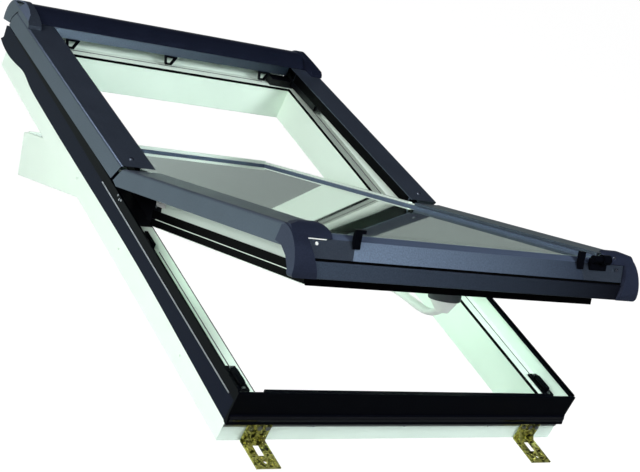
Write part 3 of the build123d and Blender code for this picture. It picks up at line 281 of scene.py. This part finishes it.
# The skirts are black plastic; their navy tint is painted sheen
skirt_painted_sheen_plastic = grained_plastic("black_skirt_plastic_painted_navy_sheen", "#0b1020", rough=0.36, grain_mm=1.2, ior=1.13)
fold_abs = grained_plastic("glossy_black_plastic", "#06070c", rough=0.14, grain_mm=4.0, ior=1.5)
black_paint = grained_plastic("black_coated_steel", "#08090d", rough=0.34, grain_mm=0.8, ior=1.3)
grey_abs = grained_plastic("dark_grey_plastic", "#3a3d40", rough=0.45, grain_mm=0.8, ior=1.5)
rubber = seal_rubber("black_seal_rubber", "#040405")
mill_aluminium = drawn_aluminium("mill_aluminium", "#b9bdbd", rough=0.3, metallic=1.0)
bead_aluminium = drawn_aluminium("grey_blue_lacquered_aluminium", "#64728a", rough=0.3, metallic=0.6)
zinc = yellow_zinc("yellow_passivated_zinc")
steel = plated_steel("bright_zinc_steel", "#bcc0c4")
glass = float_glass("coated_float_glass", "#dcebe2", "#f0f5f1")

finish_of = {
    "white_pvc": pvc,
    "sash_pvc": pvc,
    "handle_white": handle_abs,
    "latch_white": handle_abs,
    "grey_plastic": grey_abs,
    "anthracite": anthracite,
    "cap_plastic": cap_abs,
    "black_plastic": black_abs,
    "black_steel": black_paint,
    "black_rubber": rubber,
    "mill_aluminium": mill_aluminium,
    "bead_grey": bead_aluminium,
    "yellow_zinc": zinc,
    "steel": steel,
    "clear_glass": glass,
}
# Nodes with a finish of their own: the long bands at the foot and the hood's front strip, in lacquers with a
# painted fade of the light from left to right; the hood's barrel and right cap in a darker copy of the
# anthracite lacquer, which is painted shade, and its left cap in the anthracite; and the skirts, whose navy
# tint is painted sheen
own_finish = {
    "foot_cover_upper": band_painted_light_fade,
    "foot_cover_lower": low_band_painted_light_fade,
    "hood_barrel": hood_painted_shade,
    "hood_cap_left": anthracite,
    "hood_cap_right": hood_painted_shade,
    "hood_front_strip": strip_painted_light_fade,
    "side_skirt_left": skirt_painted_sheen_plastic,
    "side_skirt_right": skirt_painted_sheen_plastic,
}
for subpart in frame["record"]["subparts"]:
    node = subpart["node"]
    materials = frame["nodes"][node].data.materials
    materials.clear()
    materials.append(own_finish.get(node, finish_of[subpart["material_slot"]]))


# Details too fine for the solids, drawn in mm with the window shut and turned to where each body rests

sides = {"left": -1, "right": 1}
side_axes = {"x": (1, 2), "y": (0, 2)}
round_steps = 8
spin_steps = 24
merge_gap = 0.01
# Shares of a screw head: its flat top, the floor of its drive and how high that lies
flat_share = 0.6
drive_floor_share = 0.8
drive_level_share = 0.4


def run(shape, profile, along, low, high):
    """Adds a bar to a mesh: a closed profile run along X or Y from low to high."""
    way = "xy".index(along)
    first, second = side_axes[along]
    corners = []
    for a, b in profile:
        point = Vector((0, 0, 0))
        point[way], point[first], point[second] = low, a, b
        corners.append(shape.verts.new(point * MM))
    face = shape.faces.new(corners)
    made = bmesh.ops.extrude_face_region(shape, geom=[face])
    step = Vector((0, 0, 0))
    step[way] = (high - low) * MM
    moved = [v for v in made["geom"] if isinstance(v, bmesh.types.BMVert)]
    bmesh.ops.translate(shape, verts=moved, vec=step)


def half_round(base, low, high, proud):
    """Profile of a bead that bulges from an upright face at base, between two heights."""
    middle, half = (low + high) / 2, (high - low) / 2
    angles = [math.pi * i / round_steps for i in range(round_steps + 1)]
    return [(base + proud * math.sin(t), middle + half * math.cos(t)) for t in angles]


def flat_bead(left, right, base, proud):
    """Profile of a low bead that bulges from a level face at base, between two places across."""
    return [(a, z) for z, a in half_round(base, left, right, proud)]


def plate(left, right, low, high, edge):
    """Profile of a flat bar with its four edges chamfered."""
    return [
        (left + edge, low),
        (right - edge, low),
        (right, low + edge),
        (right, high - edge),
        (right - edge, high),
        (left + edge, high),
        (left, high - edge),
        (left, low + edge),
    ]


def domed_screw(shape, centre, out, radius, tall, hollow):
    """Adds a round screw head with a domed edge and a sunk drive, facing along out."""
    turn = Vector(out).to_track_quat("Z", "Y").to_matrix().to_4x4()
    middle = Vector(centre) * MM
    dome = radius * (1 - flat_share)
    angles = [math.pi / 2 * i / round_steps for i in range(round_steps + 1)]
    outline = [(radius * flat_share + dome * math.cos(t), tall * math.sin(t)) for t in angles]
    drive_level = tall * drive_level_share
    outline += [(hollow, tall), (hollow * drive_floor_share, drive_level), (0, drive_level)]
    verts = [shape.verts.new(turn @ (Vector((r, 0, z)) * MM) + middle) for r, z in outline]
    edges = [shape.edges.new(pair) for pair in zip(verts, verts[1:])]
    bmesh.ops.spin(
        shape,
        geom=verts + edges,
        cent=middle,
        axis=turn @ Vector((0, 0, 1)),
        angle=2 * math.pi,
        steps=spin_steps,
        use_merge=True,
    )


def shown(name, data):
    """A new object in the scene."""
    thing = bpy.data.objects.new(name, data)
    bpy.context.scene.collection.objects.link(thing)
    return thing


def piece(name, body, finish, shape):
    """Finishes a mesh as a piece that rides with a body and takes the finish it is given."""
    bmesh.ops.remove_doubles(shape, verts=shape.verts, dist=merge_gap * MM)
    bmesh.ops.recalc_face_normals(shape, faces=shape.faces)
    bmesh.ops.transform(shape, matrix=body_rest[body], space=Matrix(), verts=shape.verts)
    mesh = bpy.data.meshes.new(name)
    shape.to_mesh(mesh)
    shape.free()
    mesh.materials.append(finish)
    thing = shown(name, mesh)
    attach(thing, body)


def on_side(side, places):
    """Two places across the window, put on one of its sides and in order from the left."""
    return sorted(side * x for x in places)


def side_plates(name, body, finish, across, heights, along, edge):
    """A chamfered plate along Y on each side of the window, as a left and a right piece."""
    for word, side in sides.items():
        shape = bmesh.new()
        run(shape, plate(*on_side(side, across), *heights, edge), "y", *along)
        piece(f"{name}_{word}", body, finish, shape)


# A rounded trim closes the top edge of each skirt; its bright aluminium is there to draw the highlight along
# that edge, so it is partly painted highlight
skirt_x = reach("side_skirt_right", "x")[1]
skirt_top = reach("side_skirt_right", "z")[1]
trim_drop = 1.9
trim_rise = 1.0
trim_proud = 1.5
trim_y = (-572.0, 20.0)
for word, side in sides.items():
    shape = bmesh.new()
    trim = half_round(side * skirt_x, skirt_top - trim_drop, skirt_top + trim_rise, side * trim_proud)
    run(shape, trim, "y", *trim_y)
    piece(f"skirt_highlight_trim_{word}", "frame", mill_aluminium, shape)

# A pale stripe runs along the web between the two lips of each sash seal
stile_x = reach("sash_stile_right", "x")[1]
stripe_gap = 0.5
stripe_thick = 1.6
stripe_x = (stile_x + stripe_gap, stile_x + stripe_gap + stripe_thick)
stripe_y = (-578.0, -92.0)
stripe_z = (48.3, 49.7)
stripe_edge = 0.3
side_plates("seal_stripe", "sash", pvc, stripe_x, stripe_z, stripe_y, stripe_edge)

# A thin grey bead along the ledges of the frame, where the sash comes down; its dark grey draws the thin
# shadow line along the ledges, which is painted shade
ledge_z = reach("keepers", "z")[0]
ledge_bead_x = (337.4, 339.2)
ledge_bead_y = ((-500.0, -190.0), (40.0, 500.0))
ledge_bead_proud = 0.9
head_bead_y = (553.5, 555.3)
head_bead_half = 250.0
shape = bmesh.new()
for side in sides.values():
    bead = flat_bead(*on_side(side, ledge_bead_x), ledge_z, ledge_bead_proud)
    for stretch in ledge_bead_y:
        run(shape, bead, "y", *stretch)
head_bead = flat_bead(*head_bead_y, ledge_z, ledge_bead_proud)
run(shape, head_bead, "x", -head_bead_half, head_bead_half)
piece("ledge_beads_painted_shadow_line", "frame", grey_abs, shape)

# Black leaf of the pivot hinge on the side of each sash stile, with its screws
leaf_thick = 1.3
leaf_x = (stile_x, stile_x + leaf_thick)
leaf_y = (-106.0, 64.0)
leaf_z = (35.0, 92.0)
leaf_edge = 0.4
leaf_screws_y = (-88.0, 6.0, 46.0)
leaf_screw_z = 72.0
leaf_screw = {"radius": 3.2, "tall": 0.7, "hollow": 1.3}
side_plates("hinge_leaf", "sash", black_paint, leaf_x, leaf_z, leaf_y, leaf_edge)
for word, side in sides.items():
    shape = bmesh.new()
    for y in leaf_screws_y:
        domed_screw(shape, (side * leaf_x[1], y, leaf_screw_z), (side, 0, 0), **leaf_screw)
    piece(f"hinge_leaf_screws_{word}", "sash", steel, shape)

# Black bed under the arm on the ledge of each stile
bed_x = (320.5, 351.0)
bed_y = (-112.0, 96.0)
bed_tall = 1.2
bed_z = (ledge_z, ledge_z + bed_tall)
bed_edge = 0.4
side_plates("arm_bed", "frame", black_paint, bed_x, bed_z, bed_y, bed_edge)

# A black sheet on the inner leg of each upper cover, as painted shade where the cover's top overhangs the leg
shade_sheet_x = (320.2, 321.0)
shade_sheet_y = (-2.0, 536.0)
shade_sheet_z = (99.4, 128.2)
shade_sheet_edge = 0.3
side_plates("cover_leg_painted_shade", "carrier", rubber, shade_sheet_x, shade_sheet_z, shade_sheet_y, shade_sheet_edge)

# Three bright screws in the edge fin beside each pivot
fin_x = reach("edge_fin_right", "x")[1]
fin_screws = ((-48.0, 101.5), (-57.0, 98.0), (-64.0, 101.0))
fin_screw = {"radius": 2.2, "tall": 0.8, "hollow": 0.8}
shape = bmesh.new()
for side in sides.values():
    for y, z in fin_screws:
        domed_screw(shape, (side * fin_x, y, z), (side, 0, 0), **fin_screw)
piece("fin_screws", "frame", steel, shape)

# White bar along the slit, and round catch, on the leaning face of the left corner plate
face_top_y, face_top_z = -611.0, 113.0
face_low_y, face_low_z = -622.0, 84.0
slit_x = (-351.0, -314.0)
slit_y = -613.4
slit_z = 112.4
slit_half = 0.8
slit_edge = 0.3
catch_x = -331.0
catch_drop = 7.5
catch = {"radius": 2.9, "tall": 0.9, "hollow": 1.9}
lean = (face_low_y - face_top_y) / (face_top_z - face_low_z)
face_out = Vector((0, -1, -lean)).normalized()
catch_place = (catch_x, face_top_y + catch_drop * lean, face_top_z - catch_drop)
shape = bmesh.new()
slit = plate(slit_y - slit_half, slit_y + slit_half, slit_z - slit_half, slit_z + slit_half, slit_edge)
run(shape, slit, "x", *slit_x)
domed_screw(shape, catch_place, face_out, **catch)
piece("corner_plate_catch", "sash", handle_abs, shape)

# The apron's lower edge is folded into a round, glossy lip
fold_y = -594.5
fold_z = (43.0, 60.0)
fold_proud = 5.2
fold_half = 371.0
shape = bmesh.new()
run(shape, half_round(fold_y, *fold_z, -fold_proud), "x", -fold_half, fold_half)
piece("apron_fold", "frame", fold_abs, shape)

# Ribs pressed into the flange of each foot bracket, with small raised eyes beside the slot
bracket_x = sum(reach("foot_bracket_right", "x")) / 2
flange_z = 2.5
rib_offs = (-19.5, 19.5)
rib_half = 1.6
rib_proud = 1.2
rib_y = (-654.0, -612.0)
eye_places = ((-12.5, -640.0), (12.5, -640.0), (-12.5, -650.0), (12.5, -650.0), (0.0, -633.0))
eye = {"radius": 3.0, "tall": 1.0, "hollow": 1.6}
shape = bmesh.new()
for side in sides.values():
    for off in rib_offs:
        rib_x = side * bracket_x + off
        run(shape, flat_bead(rib_x - rib_half, rib_x + rib_half, flange_z, rib_proud), "y", *rib_y)
    for off, y in eye_places:
        domed_screw(shape, (side * bracket_x + off, y, flange_z), (0, 0, 1), **eye)
piece("bracket_pressings", "frame", zinc, shape)


# Studio: a white floor and horizon, a room with a dark ceiling, and four lamps; places in metres

smooth = {"interpolation_type": "SMOOTHSTEP"}


def white_floor(name):
    """Matt white floor, plain white to the camera and shaded where metal mirrors it."""
    # Mirrored, it is white on the left and behind, and falls off to dark in front, to the right and far off
    to_right = {**smooth, "From Min": -0.8, "From Max": 1.0, "To Min": 1.0, "To Max": 0.42}
    to_back = {**smooth, "From Min": -1.2, "From Max": 0.2, "To Min": 0.05, "To Max": 1.0}
    far_off = {"From Min": 0.3, "From Max": 1.7, "To Min": 1.15, "To Max": 0.65}
    bright_place = (-1.0, -0.1, 0.0)
    seen_level = 1.06
    seen_share = 0.93
    matt_tone, seen_tone, mirror_tone = "#f4f4f2", "#ffffff", "#dcefe9"

    material = bpy.data.materials.new(name)
    material.use_nodes = True
    tree = material.node_tree
    tree.nodes.clear()
    rays = add(tree, "ShaderNodeLightPath")
    place = add(tree, "ShaderNodeTexCoord").outputs["Object"]
    spot = add(tree, "ShaderNodeSeparateXYZ", {}, {0: place})
    right = add(tree, "ShaderNodeMapRange", to_right, {"Value": spot.outputs["X"]})
    back = add(tree, "ShaderNodeMapRange", to_back, {"Value": spot.outputs["Y"]})
    away = add(tree, "ShaderNodeVectorMath", {"operation": "DISTANCE", 1: bright_place}, {0: place})
    near = add(tree, "ShaderNodeMapRange", far_off, {"Value": away.outputs["Value"]})
    multiply = {"operation": "MULTIPLY"}
    fall = add(tree, "ShaderNodeMath", multiply, {0: right.outputs[0], 1: back.outputs[0]})
    mirror_level = add(tree, "ShaderNodeMath", multiply, {0: fall.outputs[0], 1: near.outputs[0]})

    # Rays that pass through glass count as glossy too, but see the floor as the camera does
    glossy_and_through = {0: rays.outputs["Is Glossy Ray"], 1: rays.outputs["Is Transmission Ray"]}
    mirror_only = {"operation": "SUBTRACT", "use_clamp": True}
    mirrored = add(tree, "ShaderNodeMath", mirror_only, glossy_and_through).outputs[0]
    either = add(tree, "ShaderNodeMath", {"operation": "MAXIMUM"}, glossy_and_through)
    camera_or_either = {0: rays.outputs["Is Camera Ray"], 1: either.outputs[0]}
    seen = add(tree, "ShaderNodeMath", {"operation": "MAXIMUM"}, camera_or_either)
    share = add(tree, "ShaderNodeMath", {**multiply, 1: seen_share}, {0: seen.outputs[0]})

    level_links = {FACTOR: mirrored, VALUE_B: mirror_level.outputs[0]}
    level = add(tree, "ShaderNodeMix", {VALUE_A: seen_level}, level_links)
    tones = {"data_type": "RGBA", COLOUR_A: colour(seen_tone), COLOUR_B: colour(mirror_tone)}
    tone = add(tree, "ShaderNodeMix", tones, {FACTOR: mirrored})
    glow = {"Color": tone.outputs[MIXED_COLOUR], "Strength": level.outputs[0]}
    white = add(tree, "ShaderNodeEmission", {}, glow)
    matt = add(tree, "ShaderNodeBsdfDiffuse", {"Color": colour(matt_tone)})
    floor_links = {0: share.outputs[0], 1: matt.outputs[0], 2: white.outputs[0]}
    top_face = add(tree, "ShaderNodeMixShader", {}, floor_links)

    # From below, the floor is left out
    behind = add(tree, "ShaderNodeNewGeometry").outputs["Backfacing"]
    clear = add(tree, "ShaderNodeBsdfTransparent")
    one_sided = {0: behind, 1: top_face.outputs[0], 2: clear.outputs[0]}
    surface = add(tree, "ShaderNodeMixShader", {}, one_sided)
    add(tree, "ShaderNodeOutputMaterial", {}, {"Surface": surface.outputs[0]})
    return material


def studio_room(name):
    """White to the camera; to the object, a room that is bright on the left, with a dark blue ceiling."""
    wall_top = {"From Min": 0.02, "From Max": 0.35}
    to_ceiling = {**smooth, **wall_top, "To Min": 0.7, "To Max": 0.07}
    to_left = {**smooth, "From Min": 0.2, "From Max": -0.9, "To Min": 0.3, "To Max": 0.75}
    wall_tone, ceiling_tone, seen_tone = "#f4f8fa", "#7d8ce6", "#ffffff"

    room = bpy.data.worlds.new(name)
    room.use_nodes = True
    tree = room.node_tree
    tree.nodes.clear()
    rays = add(tree, "ShaderNodeLightPath")
    outward = add(tree, "ShaderNodeTexCoord").outputs["Generated"]
    way = add(tree, "ShaderNodeSeparateXYZ", {}, {0: outward})
    high = add(tree, "ShaderNodeMapRange", to_ceiling, {"Value": way.outputs["Z"]})
    left = add(tree, "ShaderNodeMapRange", to_left, {"Value": way.outputs["X"]})
    level_links = {0: high.outputs[0], 1: left.outputs[0]}
    level = add(tree, "ShaderNodeMath", {"operation": "MULTIPLY"}, level_links)
    blue = add(tree, "ShaderNodeMapRange", wall_top, {"Value": way.outputs["Z"]})
    tones = {"data_type": "RGBA", COLOUR_A: colour(wall_tone), COLOUR_B: colour(ceiling_tone)}
    tint = add(tree, "ShaderNodeMix", tones, {FACTOR: blue.outputs[0]})
    glow = {"Color": tint.outputs[MIXED_COLOUR], "Strength": level.outputs[0]}
    walls = add(tree, "ShaderNodeBackground", {}, glow)
    white = add(tree, "ShaderNodeBackground", {"Color": colour(seen_tone), "Strength": 1.0})
    ways = {0: rays.outputs["Is Camera Ray"], 1: walls.outputs[0], 2: white.outputs[0]}
    surface = add(tree, "ShaderNodeMixShader", {}, ways)
    add(tree, "ShaderNodeOutputWorld", {}, {"Surface": surface.outputs[0]})
    return room


floor_drop = 0.12
floor_half = 30.0
floor_mesh = bpy.data.meshes.new("floor")
shape = bmesh.new()
bmesh.ops.create_grid(shape, x_segments=1, y_segments=1, size=floor_half)
bmesh.ops.translate(shape, verts=shape.verts, vec=(0, 0, cad_low.z - floor_drop))
shape.to_mesh(floor_mesh)
shape.free()
floor_mesh.materials.append(white_floor("white_floor"))
floor = shown("floor", floor_mesh)
bpy.context.scene.world = studio_room("studio")

lamp_target = Vector((0, 0, 0.1))


def soft_lamp(name, place, width, height, watts, tone):
    """A rectangular soft box, turned to the middle of the window."""
    data = bpy.data.lights.new(name, "AREA")
    data.shape = "RECTANGLE"
    data.size = width
    data.size_y = height
    data.energy = watts
    data.color = colour(tone)[:3]
    lamp = shown(name, data)
    lamp.location = place
    lamp.rotation_mode = "QUATERNION"
    lamp.rotation_quaternion = (lamp_target - Vector(place)).to_track_quat("-Z", "Y")
    return lamp


soft_lamp("left_window", (-3.0, -0.5, 1.9), width=2.0, height=1.6, watts=102.0, tone="#ffffff")
soft_lamp("front_window", (-0.6, -3.6, 2.3), width=2.0, height=1.2, watts=20.0, tone="#f4faff")
# The roof light isn't mirrored in metal and glass, and the edge light gives highlights alone
roof_light = soft_lamp("roof_light", (1.35, -1.75, 2.35), width=1.1, height=1.1, watts=84.0, tone="#f4faff")
roof_light.visible_glossy = False
edge_light = soft_lamp("edge_light", (-1.9, 2.5, 2.1), width=0.9, height=0.9, watts=34.0, tone="#eaf2ff")
edge_light.visible_diffuse = False

camera_place = (-1.61857, -2.04812, 1.35289)
camera_turn_deg = (61.28061, -23.24234, -28.55211)
camera_data = bpy.data.cameras.new("camera")
camera_data.sensor_width = 36.0
camera_data.lens = 81.716
camera_data.clip_start = 0.05
camera_data.clip_end = 100.0
camera = shown("camera", camera_data)
camera.location = camera_place
camera.rotation_euler = [math.radians(angle) for angle in camera_turn_deg]
bpy.context.scene.camera = camera

bpy.context.scene.view_settings.view_transform = "Standard"
